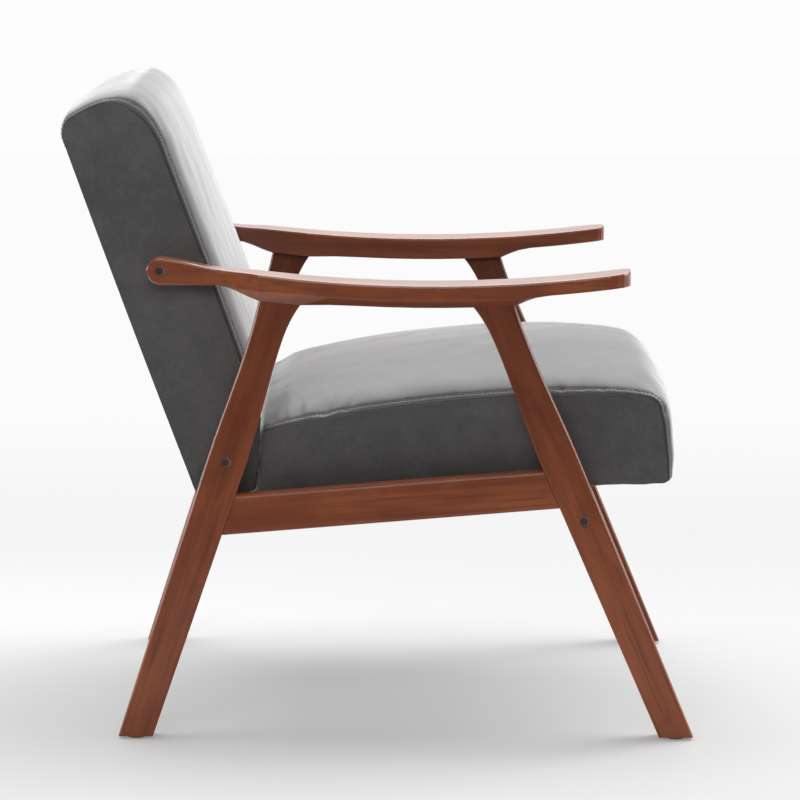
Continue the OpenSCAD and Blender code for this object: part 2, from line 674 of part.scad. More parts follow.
// The ledge strip is screwed to the rail from the inside
cleat_screw_s = [for (f = [0.04, 0.21, 0.4, 0.56]) mix(-seat_rear, seat_front, f)];
cleat_screw_l = 58;
cleat_low = -soft_gap - cleat_t;
module cleat_screw(s, extra) {
  head = screw_d * 2;
  seat_frame() translate([s, rail_in - cleat_w + 2, cleat_low + cleat_t / 2]) rotate([-90, 0, 0]) {
    cylinder(h = cleat_screw_l, d = screw_d + 2 * extra);
    cylinder(h = head / 2 - screw_d / 2 + 0.5, d1 = head + 2 * extra, d2 = screw_d + 2 * extra);
    if (extra > 0) translate([0, 0, -3]) cylinder(h = 3.01, d = head + 2 * extra);
  }
}
module cleat_screws() {
  color(steel) both_sides() for (s = cleat_screw_s) cleat_screw(s, 0);
}

module side_rail() {
  difference() {
    intersection() {
      seat_frame() translate([-rear_foot_x, (rail_in + rail_out) / 2, rail_mid]) rotate([90, 0, 90])
        linear_extrude(height = rear_foot_x + front_foot_x)
        polygon(rounded(rail_t, rail_h, rail_round));
      between_legs(glue_gap, rail_in - 5, rail_out + 5);
    }
    rail_dowels_at(rear, 1);
    rail_dowels_at(front, 1);
    for (s = cleat_screw_s) cleat_screw(s, hole_gap);
  }
}
module side_rail_left() {
  color(wood) on_side(1) side_rail();
}
module side_rail_right() {
  color(wood) on_side(-1) side_rail();
}

// Seat bolts rise through the ledge strips into tee nuts in the board
module seat_bolt(s, extra) {
  seat_frame() translate([s, seat_bolt_y, 0]) {
    translate([0, 0, cleat_low - 0.2]) cylinder(h = board_top - cleat_low - 1, d = bolt_d + 2 * extra);
    if (extra == 0) translate([0, 0, cleat_low - glue_gap - 4]) cylinder(h = 4, d = head_d);
  }
}
module seat_bolts() {
  color(steel) both_sides() for (s = seat_bolt_s) seat_bolt(s, 0);
}
module seat_cleat() {
  difference() {
    intersection() {
      seat_frame() translate([-rear_foot_x, rail_in - cleat_w, cleat_low])
        cube([rear_foot_x + front_foot_x, cleat_w - glue_gap, cleat_t]);
      between_legs(2, rail_in - cleat_w - 5, rail_in + 5);
    }
    for (s = seat_bolt_s) seat_frame() translate([s, seat_bolt_y, cleat_low - 1])
      cylinder(h = cleat_t + 2, d = bolt_d + 1);
    for (s = cleat_screw_s) cleat_screw(s, hole_gap);
  }
}
module seat_cleat_left() {
  color(beech) on_side(1) seat_cleat();
}
module seat_cleat_right() {
  color(beech) on_side(-1) seat_cleat();
}

// The front stretcher follows the slope of the front legs
nut_d = 10;
nut_l = 18;
nut_in = 32;
stretcher_end = leg_in - glue_gap;
stretcher_bolt_l = 46;
stretcher_dowel_l = 30;
module in_stretcher() {
  translate([front_bolt[0], 0, front_bolt[1]]) rotate([0, -front_lean, 0]) children();
}
module stretcher_dowel(t, extra) {
  l = stretcher_dowel_l + 2 * extra;
  in_stretcher() translate([0, leg_in - l / 2, t]) rotate([-90, 0, 0])
    cylinder(h = l, d = dowel_d + (extra > 0 ? 2 * hole_gap : 0));
}
module stretcher_dowels_at(extra) {
  for (f = [-0.33, 0.33]) stretcher_dowel(stretcher_h * f, extra);
}
module barrel_nut(extra) {
  in_stretcher() translate([0, leg_in - nut_in, 0]) rotate([0, 90, 0])
    translate([0, 0, extra > 0 ? -nut_l / 2 - 1 : -nut_l / 2])
    cylinder(h = nut_l + (extra > 0 ? 20 : 0), d = nut_d + 2 * extra);
}
module front_stretcher() {
  color(wood) placed() difference() {
    in_stretcher() translate([0, stretcher_end, 0]) rotate([90, 0, 0])
      linear_extrude(height = 2 * stretcher_end)
      polygon(rounded(stretcher_t, stretcher_h, stretcher_round));
    for (side = [0, 1]) mirror([0, side, 0]) {
      stretcher_dowels_at(1);
      barrel_nut(hole_gap);
      cross_bar(front_bolt, leg_in - stretcher_bolt_l, leg_in + 5, bolt_d + 2 * hole_gap);
    }
  }
}
module stretcher_dowels() {
  color(beech) both_sides() stretcher_dowels_at(0);
}
module barrel_nuts() {
  color(steel) both_sides() difference() {
    barrel_nut(0);
    cross_bar(front_bolt, leg_in - 60, leg_in, bolt_d + 2 * hole_gap);
  }
}
module stretcher_bolts() {
  color(steel) both_sides() bolt(front_bolt, leg_out, leg_in - stretcher_bolt_l + 2);
}
module arm_dowels() {
  color(beech) both_sides() {
    arm_dowels_at(rear, 0);
    arm_dowels_at(front, 0);
  }
}
module rail_dowels() {
  color(beech) both_sides() {
    rail_dowels_at(rear, 0);
    rail_dowels_at(front, 0);
  }
}

// Bolts from the armrest and the rear leg reach insert nuts in the back pad's frame
bolt_tip = stile_out - insert_l + 1;
module arm_bolts() {
  color(steel) both_sides() bolt(arm_bolt, end_out, bolt_tip);
}
module rear_leg_bolts() {
  color(steel) both_sides() bolt(rear_bolt, leg_out, bolt_tip);
}
module bolt_caps() {
  color(bronze) both_sides() {
    cap(arm_bolt, end_out);
    cap(rear_bolt, leg_out);
    cap(front_bolt, leg_out);
  }
}
module back_insert_nuts() {
  color(steel) both_sides() for (at = [arm_bolt, rear_bolt]) difference() {
    cross_bar(at, stile_out - insert_l, stile_out - 0.5, insert_d);
    cross_bar(at, stile_out - insert_l - 1, stile_out, bolt_d + 2 * hole_gap);
  }
}
module spacer(at, face) {
  difference() {
    cross_bar(at, stile_out + glue_gap, face - glue_gap, spacer_d);
    cross_bar(at, stile_out - 1, face + 1, bolt_d + 2 * hole_gap);
  }
}
module back_spacers() {
  color(beech) both_sides() {
    spacer(arm_bolt, arm_in);
    spacer(rear_bolt, leg_in);
  }
}

// Seat pad
module in_seat_pad() {
  placed() seat_frame() children();
}
module seat_board() {
  color(ply) in_seat_pad() difference() {
    translate([board_rear, -board_half, board_low])
      cube([board_front - board_rear, 2 * board_half, board_t]);
    for (side = [0, 1], s = seat_bolt_s) mirror([0, side, 0]) translate([s, seat_bolt_y, board_low]) {
      translate([0, 0, -1]) cylinder(h = board_t + 2, d = tee_d + 2 * hole_gap);
      translate([0, 0, board_t - tee_flange_t - 0.3]) cylinder(h = 3, d = tee_flange + 1);
    }
  }
}
module seat_tee_nuts() {
  color(steel) in_seat_pad() for (side = [0, 1], s = seat_bolt_s) mirror([0, side, 0])
    translate([s, seat_bolt_y, 0]) difference() {
      union() {
        translate([0, 0, board_low + 2]) cylinder(h = board_t - 2.4, d = tee_d);
        translate([0, 0, board_top - tee_flange_t - 0.1]) cylinder(h = tee_flange_t, d = tee_flange);
      }
      cylinder(h = board_top + 2, d = bolt_d + 2 * hole_gap);
    }
}
module seat_foam() {
  color(foam) in_seat_pad() difference() {
    pad(seat_outline(cover_t + 2 * soft_gap), seat_half - cover_t - 2 * soft_gap, seat_draw);
    translate([-seat_front, -chair_w, -seat_side_h])
      cube([3 * seat_front, 2 * chair_w, seat_side_h + board_top + soft_gap]);
  }
}
module seat_cover() {
  color(leather) in_seat_pad() difference() {
    pad(seat_outline(0), seat_half, seat_draw);
    pad(seat_outline(cover_t), seat_half - cover_t, seat_draw);
    translate([-seat_rear + cover_turn, cover_turn - seat_half, -5])
      cube([seat_front + seat_rear - 2 * cover_turn, 2 * (seat_half - cover_turn), cover_t + 8]);
    for (side = [0, 1], s = seat_bolt_s) mirror([0, side, 0]) translate([s, seat_bolt_y, -5])
      cylinder(h = cover_t + 8, d = bolt_d + 2);
  }
}
module seat_dust_cover() {
  edge = cover_turn + 1;
  color(bronze) in_seat_pad() translate([-seat_rear + edge, edge - seat_half, cover_t - dust_t])
    cube([seat_front + seat_rear - 2 * edge, 2 * (seat_half - edge), dust_t]);
}

// Back pad
module in_back_pad() {
  placed() back_frame() children();
}
module back_stile() {
  difference() {
    back_frame() translate([frame_back, stile_in, frame_low])
      cube([frame_fore - frame_back, frame_t, frame_top - frame_low]);
    for (at = [arm_bolt, rear_bolt])
      cross_bar(at, stile_out - insert_l - 1, stile_out + 2, insert_d + 2 * hole_gap);
    for (b = frame_rails, a = frame_screw_a) frame_screw(a, b, hole_gap);
  }
}
module back_stile_left() {
  color(beech) on_side(1) back_stile();
}
module back_stile_right() {
  color(beech) on_side(-1) back_stile();
}
frame_screw_l = 45;
module frame_screw(a, b, extra) {
  head = screw_d * 2;
  back_frame() translate([a, stile_out - 0.5, b + frame_t / 2]) rotate([90, 0, 0]) {
    cylinder(h = frame_screw_l, d = screw_d + 2 * extra);
    cylinder(h = head / 2 - screw_d / 2 + 0.5, d1 = head + 2 * extra, d2 = screw_d + 2 * extra);
    if (extra > 0) translate([0, 0, -2]) cylinder(h = 2.01, d = head + 2 * extra);
  }
}
module back_frame_screws() {
  color(steel) both_sides() for (b = frame_rails, a = frame_screw_a) frame_screw(a, b, 0);
}
module back_rail(b) {
  placed() difference() {
    back_frame() translate([frame_back, glue_gap - stile_in, b])
      cube([frame_fore - frame_back, 2 * (stile_in - glue_gap), frame_t]);
    for (side = [0, 1], a = frame_screw_a) mirror([0, side, 0]) frame_screw(a, b, hole_gap);
  }
}
module back_bottom_rail() {
  color(beech) back_rail(frame_rails[0]);
}
module back_middle_rail() {
  color(beech) back_rail(frame_rails[1]);
}
module back_top_rail() {
  color(beech) back_rail(frame_rails[2]);
}
web_rows = [0.14, 0.32, 0.5, 0.68, 0.86];
module back_webbing() {
  color(bronze) in_back_pad() for (f = web_rows)
    translate([frame_fore + 0.1, 4 - stile_out, mix(frame_low, frame_top, f) - web_w / 2])
    cube([web_t, 2 * stile_out - 8, web_w]);
}
module back_foam() {
  d = cover_t + 2 * soft_gap;
  color(foam) in_back_pad() difference() {
    pad(back_outline(d), back_half - d, back_draw);
    translate([frame_back - soft_gap, -chair_w, frame_low - soft_gap])
      cube([frame_fore - frame_back + web_t + 3 * soft_gap, 2 * chair_w,
        frame_top - frame_low + 2 * soft_gap]);
  }
}
module back_cover() {
  color(leather) placed() difference() {
    back_frame() pad(back_outline(0), back_half, back_draw);
    back_frame() pad(back_outline(cover_t), back_half - cover_t, back_draw);
    for (side = [0, 1], at = [arm_bolt, rear_bolt]) mirror([0, side, 0])
      cross_bar(at, stile_out - 2, arm_in + 10, spacer_d + 2 * soft_gap);
  }
}

armrest_right();
armrest_left();
front_leg_right();
front_leg_left();
rear_leg_right();
rear_leg_left();
side_rail_right();
side_rail_left();
seat_cleat_right();
seat_cleat_left();
front_stretcher();
arm_dowels();
rail_dowels();
stretcher_dowels();
stretcher_bolts();
barrel_nuts();
arm_bolts();
rear_leg_bolts();
back_insert_nuts();
back_spacers();
bolt_caps();
cleat_screws();
seat_bolts();
seat_tee_nuts();
foot_glides();
seat_board();
seat_foam();
seat_cover();
seat_dust_cover();
back_stile_right();
back_stile_left();
back_top_rail();
back_middle_rail();
back_bottom_rail();
back_frame_screws();
back_webbing();
back_foam();
back_cover();
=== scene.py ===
import math
import bmesh
import bpy
import numpy as np
from mathutils import Matrix, Vector


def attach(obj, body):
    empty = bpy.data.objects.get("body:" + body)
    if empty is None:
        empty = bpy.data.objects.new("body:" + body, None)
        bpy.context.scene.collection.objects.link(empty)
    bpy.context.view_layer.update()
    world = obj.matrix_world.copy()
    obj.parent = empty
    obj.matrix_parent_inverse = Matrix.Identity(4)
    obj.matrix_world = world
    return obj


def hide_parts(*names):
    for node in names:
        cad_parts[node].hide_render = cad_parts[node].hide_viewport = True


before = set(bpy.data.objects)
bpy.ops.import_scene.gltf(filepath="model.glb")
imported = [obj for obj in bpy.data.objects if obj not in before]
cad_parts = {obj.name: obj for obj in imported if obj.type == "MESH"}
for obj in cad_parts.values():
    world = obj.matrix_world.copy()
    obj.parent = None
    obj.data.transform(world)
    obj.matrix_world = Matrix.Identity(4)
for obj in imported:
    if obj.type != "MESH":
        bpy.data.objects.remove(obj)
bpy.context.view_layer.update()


# Camera, floor and light.
# A long lens looks at the right side of the chair, a little from above, as in the photograph.
# The chair stands on a pale seamless floor between soft white studio lights; the floor is painted a little darker under
# and behind the chair as shade.
camera_data = bpy.data.cameras.new("camera")
camera_data.lens = 169.99
camera_data.sensor_width = 36
camera = bpy.data.objects.new("camera", camera_data)
bpy.context.scene.collection.objects.link(camera)
pitch, yaw, roll = 0.140833725, -0.00403741, 0.00385
turn = Matrix(((1, 0, -roll), (0, 1, 0), (roll, 0, 1)))
ahead = turn @ Vector((-math.cos(pitch) * math.sin(yaw), math.cos(pitch) * math.cos(yaw), -math.sin(pitch)))
above = turn @ Vector((-math.sin(pitch) * math.sin(yaw), math.sin(pitch) * math.cos(yaw), math.cos(pitch)))
aside = turn @ Vector((math.cos(yaw), math.sin(yaw), 0))
camera.matrix_world = Matrix.Translation((0.00634, -4.78518, 1.05152)) @ Matrix(
    (aside.normalized(), above.normalized(), -ahead.normalized())).transposed().to_4x4()
bpy.context.scene.camera = camera
bpy.context.scene.view_settings.view_transform = "Standard"


class Wire:
    """An output of a shader node, which can be added and multiplied like a number."""

    def __init__(self, tree, socket):
        self.tree, self.socket = tree, socket

    def node(self, kind, values=None, out=0, **settings):
        made = self.tree.nodes.new(kind)
        for name, value in settings.items():
            setattr(made, name, value)
        for name, value in (values or {}).items():
            socket = made.inputs[name]
            if isinstance(value, Wire):
                self.tree.links.new(value.socket, socket)
            else:
                socket.default_value = value
        return Wire(self.tree, made.outputs[out])

    def maths(self, operation, other):
        return self.node("ShaderNodeMath", {0: self, 1: other}, operation=operation)

    def __add__(self, other): return self.maths("ADD", other)
    def __mul__(self, other): return self.maths("MULTIPLY", other)

    def step(self, low, high):
        return self.node("ShaderNodeMapRange", {"Value": self, "From Min": low, "From Max": high},
                         interpolation_type="SMOOTHSTEP")

    def between(self, first, second):
        return self.node("ShaderNodeMix", {0: self, 6: first, 7: second}, out=2, data_type="RGBA")

    def noise(self, scale, detail=4.0, rough=0.55, warp=0.0):
        return self.node("ShaderNodeTexNoise", {"Vector": self, "Scale": scale, "Detail": detail,
                                                "Roughness": rough, "Distortion": warp})

    def placed(self, scale=(1, 1, 1), turn=(0, 0, 0), move=(0, 0, 0)):
        return self.node("ShaderNodeMapping", {"Vector": self, "Scale": scale, "Rotation": turn,
                                               "Location": move})

    def bump(self, strength, distance, normal=None):
        values = {"Height": self, "Strength": strength, "Distance": distance}
        if normal is not None:
            values["Normal"] = normal
        return self.node("ShaderNodeBump", values)


def new_material(name):
    """A material with its shader and the Object coordinates as a wire."""
    material = bpy.data.materials.new(name)
    material.use_nodes = True
    tree = material.node_tree
    shader = tree.nodes["Principled BSDF"]
    place = Wire(tree, tree.nodes.new("ShaderNodeTexCoord").outputs["Object"])
    return material, shader, place


def set_inputs(shader, values):
    for name, value in values.items():
        if isinstance(value, Wire):
            value.tree.links.new(value.socket, shader.inputs[name])
        else:
            shader.inputs[name].default_value = value


def mesh_object(name, points, faces, material):
    mesh = bpy.data.meshes.new(name)
    mesh.from_pydata([tuple(p) for p in points], [], [tuple(f) for f in faces])
    mesh.validate()
    mesh.materials.append(material)
    for face in mesh.polygons:
        face.use_smooth = True
    thing = bpy.data.objects.new(name, mesh)
    bpy.context.scene.collection.objects.link(thing)
    return thing


material, shader, place = new_material("floor_paint")
spot = place.node("ShaderNodeSeparateXYZ", {0: place}, out=1)
seen = Wire(place.tree, place.tree.nodes.new("ShaderNodeLightPath").outputs["Is Camera Ray"])
# Painted shade: the floor's colour darkens from y -0.7 m to 1.0 m, under and behind the chair, with a random tone on
# top.
pale = (place.noise(3) * 0.2 + place.node("ShaderNodeSeparateXYZ", {0: place}).step(-0.7, 1.0) * 0.8).between(
    (0.58, 0.58, 0.58, 1), (0.48, 0.48, 0.48, 1))
set_inputs(shader, {"Base Color": spot.step(-1.7, -1.0).maths("MAXIMUM", seen).between((0.18, 0.18, 0.18, 1), pale),
                    "Roughness": 0.6, "Specular IOR Level": 0.1})
mix = place.tree.nodes.new("ShaderNodeMixShader")
white = place.tree.nodes.new("ShaderNodeEmission")
fade = spot.step(-0.2, 1.5).maths("MAXIMUM", seen * 0.28)
far = spot.step(0.2, 2.6)
place.tree.links.new(far.between((0.86, 0.86, 0.86, 1), (0.965, 0.965, 0.965, 1)).socket, white.inputs["Color"])
place.tree.links.new(fade.socket, mix.inputs[0])
place.tree.links.new(shader.outputs[0], mix.inputs[1])
place.tree.links.new(white.outputs[0], mix.inputs[2])
place.tree.links.new(mix.outputs[0], place.tree.nodes["Material Output"].inputs["Surface"])
floor = mesh_object("floor", [(-9, -6, 0), (9, -6, 0), (9, 9, 0), (-9, 9, 0)], [(0, 1, 2, 3)], material)

world = bpy.data.worlds.new("studio")
bpy.context.scene.world = world
world.use_nodes = True
tree = world.node_tree
seen = Wire(tree, tree.nodes.new("ShaderNodeLightPath").outputs["Is Camera Ray"])
around = Wire(tree, tree.nodes.new("ShaderNodeTexCoord").outputs["Generated"])
across = around.node("ShaderNodeSeparateXYZ", {0: around}, out=1)
glow = across.step(-0.6, 0.5).between((0.13, 0.13, 0.13, 1), (0.9, 0.9, 0.9, 1))
colour = seen.between(glow, (0.98, 0.98, 0.98, 1))
tree.links.new(colour.socket, tree.nodes["Background"].inputs["Color"])
tree.nodes["Background"].inputs["Strength"].default_value = 1.0


def soft_light(name, place, aim, size, power):
    data = bpy.data.lights.new(name, "AREA")
    data.shape = "RECTANGLE"
    data.size, data.size_y = size
    data.energy = power
    lamp = bpy.data.objects.new(name, data)
    bpy.context.scene.collection.objects.link(lamp)
    lamp.location = place
    lamp.rotation_euler = (Vector(aim) - Vector(place)).to_track_quat("-Z", "Y").to_euler()


soft_light("light_above", (0.3, 0.9, 3.0), (0.1, 0, 0.4), (3.6, 3.0), 118)
soft_light("light_front", (3.2, 1.8, 3.2), (0, 0, 0.4), (2.4, 2.4), 100)
soft_light("light_low", (3.3, -0.1, 1.25), (0, 0, 0.6), (1.0, 0.8), 20)
soft_light("light_side", (-0.4, -2.9, 1.9), (0, 0, 0.4), (2.0, 1.2), 34)
soft_light("light_rear", (-3.2, -0.3, 1.1), (0, 0, 0.5), (1.4, 1.0), 34)


# Wooden side frames, rails and stretcher.
# Solid hardwood, sawn and shaped, stained red-brown and finished in a satin lacquer.
# They are the CAD solids; each group has the grain along its own length. The legs carry painted shade: darker towards
# their tops, under the arms.
def stained_wood(name, turn, move=(0, 0, 0), deep=0.0, coat=0.36):
    material, shader, place = new_material(name)
    along = place.placed(turn=turn, move=move)
    fibre = along.placed(scale=(1.5, 26, 26))
    band = fibre.noise(1.6, 4, 0.55, 0.5)
    pore = along.placed(scale=(9, 300, 300)).noise(1.0, 2, 0.5)
    cloud = along.placed(scale=(5, 12, 12)).noise(1.8, 3, 0.6, 0.4)
    streak = along.placed(scale=(2.2, 75, 75)).noise(1.0, 3, 0.6, 0.3)
    tone = (band * 0.3 + cloud * 0.4 + streak * 0.3).step(0.34, 0.66)
    colour = tone.between((0.158, 0.033, 0.010, 1), (0.292, 0.078, 0.026, 1))
    colour = (pore.step(0.50, 0.76) * 0.6).between(colour, (0.110, 0.022, 0.006, 1))
    # Painted shade: the colour darkens towards the tops of the legs, 0.25 to 0.52 m up, where the arms shade them; deep
    # sets how much.
    high = place.node("ShaderNodeSeparateXYZ", {0: place}, out=2)
    colour = (high.step(0.25, 0.52) * deep).between(colour, (0.050, 0.010, 0.003, 1))
    set_inputs(shader, {
        "Base Color": colour,
        "Roughness": band.node("ShaderNodeMapRange", {"Value": band, "To Min": 0.30, "To Max": 0.40}),
        "IOR": 1.5, "Specular IOR Level": 0.25,
        "Coat Weight": coat, "Coat Roughness": 0.2,
        "Normal": (band * 0.5 + pore.step(0.55, 0.8) * -0.3).bump(0.08, 0.0006)})
    return material


def dress(material, *nodes):
    for node in nodes:
        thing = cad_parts[node]
        if not thing.material_slots:
            thing.data.materials.append(material)
        for held in thing.material_slots:
            held.material = material


front_leg_lean = math.radians(90 + 23.1)
rear_leg_lean = math.radians(90 - 18.25)
seat_lean = math.radians(4.75)
back_lean = math.radians(20.3)
dress(stained_wood("arm_wood", (0, 0, 0), coat=0.9), "armrest_right", "armrest_left")
# The legs take painted shade at their tops: 0.5 on the front legs, 0.4 on the rear.
dress(stained_wood("front_leg_wood", (0, front_leg_lean, 0), (0.3, 0, 0), 0.5), "front_leg_right", "front_leg_left")
dress(stained_wood("rear_leg_wood", (0, rear_leg_lean, 0), (0.7, 0, 0), 0.4), "rear_leg_right", "rear_leg_left")
dress(stained_wood("rail_wood", (0, seat_lean, 0), (1.1, 0, 0)), "side_rail_right", "side_rail_left")
dress(stained_wood("stretcher_wood", (0, 0, math.radians(90)), (1.9, 0, 0)), "front_stretcher")


# Hidden hardwood parts.
# The frame of the back, the cleats under the seat, the spacers and the dowels are raw planed hardwood.
# They are sawn to plain blocks and turned pins, glued or screwed, and never stained.
def raw_wood(name, turn, low, high, ply=0.0):
    material, shader, place = new_material(name)
    along = place.placed(turn=turn)
    grain = along.placed(scale=(3, 60, 60)).noise(1.5, 4, 0.6)
    layer = along.node("ShaderNodeTexWave", {"Vector": along, "Scale": 180.0}, bands_direction="Z")
    set_inputs(shader, {
        "Base Color": (grain * (1 - ply) + layer * ply).step(0.25, 0.75).between(low, high),
        "Roughness": 0.62, "Normal": grain.bump(0.15, 0.0004)})
    return material


pale_wood = ((0.50, 0.34, 0.19, 1), (0.68, 0.50, 0.31, 1))
dress(raw_wood("pale_wood_up", (0, math.radians(110), 0), *pale_wood), "back_stile_right", "back_stile_left")
dress(raw_wood("pale_wood_across", (0, 0, math.radians(90)), *pale_wood),
      "back_top_rail", "back_middle_rail", "back_bottom_rail", "back_spacers", "stretcher_dowels")
dress(raw_wood("pale_wood_along", (0, seat_lean, 0), (0.47, 0.31, 0.17, 1), (0.65, 0.47, 0.29, 1)),
      "seat_cleat_right", "seat_cleat_left", "rail_dowels", "arm_dowels")


# Seat board.
# A sheet of birch plywood carries the seat foam and rests on the cleats; its plies show at the edges.
# It is cut and bored on a router and left raw.
dress(raw_wood("birch_ply", (0, seat_lean, 0), (0.38, 0.23, 0.11, 1), (0.66, 0.47, 0.27, 1), 0.6), "seat_board")


# Webbing and dust cover.
# Elastic webbing is stretched over the back's frame, and a thin black cloth is stapled under the seat.
# Both are woven of black polypropylene yarn.
def black_weave(name, turn, scale):
    material, shader, place = new_material(name)
    along = place.placed(turn=turn)
    warp = along.node("ShaderNodeTexWave", {"Vector": along, "Scale": scale, "Distortion": 0.6})
    weft = along.node("ShaderNodeTexWave", {"Vector": along, "Scale": scale, "Distortion": 0.6},
                      bands_direction="Y")
    weave = (warp * weft + along.noise(90) * 0.4).step(0.1, 0.9)
    set_inputs(shader, {"Base Color": weave.between((0.012, 0.012, 0.013, 1), (0.040, 0.040, 0.042, 1)),
                        "Roughness": 0.9, "Normal": weave.bump(0.4, 0.0006)})
    return material


dress(black_weave("black_webbing", (0, back_lean, 0), 130.0), "back_webbing")
dress(black_weave("black_dust_cloth", (0, -seat_lean, 0), 210.0), "seat_dust_cover")


# Steel fittings.
# Bolts, barrel nuts, tee nuts, threaded inserts and screws hold the chair together.
# They are headed or turned from steel and zinc plated.
material, shader, place = new_material("zinc_plate")
patch = place.noise(60, 3)
set_inputs(shader, {"Base Color": patch.step(0.3, 0.7).between((0.46, 0.46, 0.47, 1), (0.62, 0.62, 0.63, 1)),
                    "Metallic": 1.0, "Roughness": place.noise(240, 2) * 0.25 + 0.22,
                    "Normal": place.noise(900, 2).bump(0.1, 0.0002)})
dress(material, "arm_bolts", "back_frame_screws", "back_insert_nuts", "barrel_nuts", "cleat_screws",
      "rear_leg_bolts", "seat_bolts", "seat_tee_nuts", "stretcher_bolts")


# Bolt caps.
# Small domed plugs of purple-brown plastic hide the heads of the bolts in the arms and legs.
# They are moulded and pressed into the sinks; a lighter rim is painted round each one, a painted highlight where the
# wall of the sink catches the light.
material, shader, place = new_material("cap_plastic")
nearest = None
for x, z in ((-0.261712, 0.568452), (-0.182704, 0.3395), (0.24925, 0.269011)):
    away = place.node("ShaderNodeVectorMath", {0: place, 1: (x, 0, z)}, operation="SUBTRACT")
    away = away.node("ShaderNodeVectorMath", {0: away, 1: (1, 0, 1)}, operation="MULTIPLY")
    away = away.node("ShaderNodeVectorMath", {0: away}, out=1, operation="LENGTH")
    nearest = away if nearest is None else nearest.maths("MINIMUM", away)
# Painted highlight: a lighter ring round each cap's middle stands in for the lit wall of its sink.
lit_rim = nearest.step(0.0038, 0.0052)
set_inputs(shader, {"Base Color": lit_rim.between((0.045, 0.014, 0.016, 1), (0.19, 0.10, 0.095, 1)),
                    "Roughness": lit_rim * 0.1 + 0.38})
dress(material, "bolt_caps")


# Foot glides.
# A pale nylon disc is nailed under each foot so that the chair slides on a hard floor.
# The discs are moulded; their edge shows as a thin pale line.
material, shader, place = new_material("glide_nylon")
cloud = place.noise(150, 3)
set_inputs(shader, {"Base Color": cloud.step(0.3, 0.7).between((0.50, 0.43, 0.36, 1), (0.60, 0.52, 0.45, 1)),
                    "Roughness": cloud * 0.2 + 0.4})
dress(material, "foot_glides")


# Seat pad.
# Faux leather in a dark grey over foam on a board: a boxing strip on each side, and one top panel
# that runs down over the front, joined by a seam with a row of topstitch beside it.
middle_x = 0.0012
rear_bolt = (-0.182704, 0.3395)
seat_z = 0.2822
# In mm, from the seat's origin: its rear, its height and how far its rear end slants over that height
seat_rear, seat_high, seat_slant = 141, 119, 18
seat_half, stitch_in = 262, 5.7


def leather(name):
    material, shader, place = new_material(name)
    grain = place.node("ShaderNodeTexVoronoi", {"Vector": place, "Scale": 620.0}, feature="DISTANCE_TO_EDGE")
    fine = place.noise(1400, 2)
    cloud = place.noise(7, 3)
    wear = place.noise(26, 4)
    fleck = place.noise(190, 3)
    soft = place.noise(13, 1.5)
    # Painted shade: the seam attribute darkens the colour almost to black along the seam's groove and, half as much,
    # along the topstitch row.
    seam = place.node("ShaderNodeAttribute", out=2, attribute_name="seam")
    tone = (cloud * 0.4 + wear * 0.3 + fleck * 0.3).step(0.36, 0.64)
    colour = tone.between((0.054, 0.051, 0.0525, 1), (0.080, 0.0755, 0.077, 1))
    set_inputs(shader, {
        "Base Color": seam.between(colour, (0.006, 0.006, 0.006, 1)),
        "Roughness": (wear * 0.6 + fleck * 0.4) * 0.24 + 0.32,
        "IOR": 1.5,
        "Specular IOR Level": 0.6,
        "Sheen Weight": 1.0, "Sheen Roughness": 0.3, "Sheen Tint": (1.0, 1.0, 1.0, 1),
        "Normal": (grain.step(0.0, 0.22) * 0.7 + fine * 0.3).bump(0.10, 0.0004, soft.bump(0.3, 0.012))})
    return material


def ease(t):
    t = min(1, max(0, t))
    return t * t * (3 - 2 * t)


def lerp(a, b, t): return a + (b - a) * t
def sind(a): return math.sin(math.radians(a))
def cosd(a): return math.cos(math.radians(a))


def arc(a, b, n, r, c):
    return [(c[0] + r * cosd(lerp(a, b, i / n)), c[1] + r * sind(lerp(a, b, i / n))) for i in range(n + 1)]


def from_seat(p):
    return (middle_x + p[0] * math.cos(seat_lean) - p[2] * math.sin(seat_lean), p[1],
            seat_z + p[0] * math.sin(seat_lean) + p[2] * math.cos(seat_lean))


def from_back(p):
    return (middle_x + rear_bolt[0] + p[0] * math.cos(back_lean) - p[2] * math.sin(back_lean), p[1],
            rear_bolt[1] + p[0] * math.sin(back_lean) + p[2] * math.cos(back_lean))


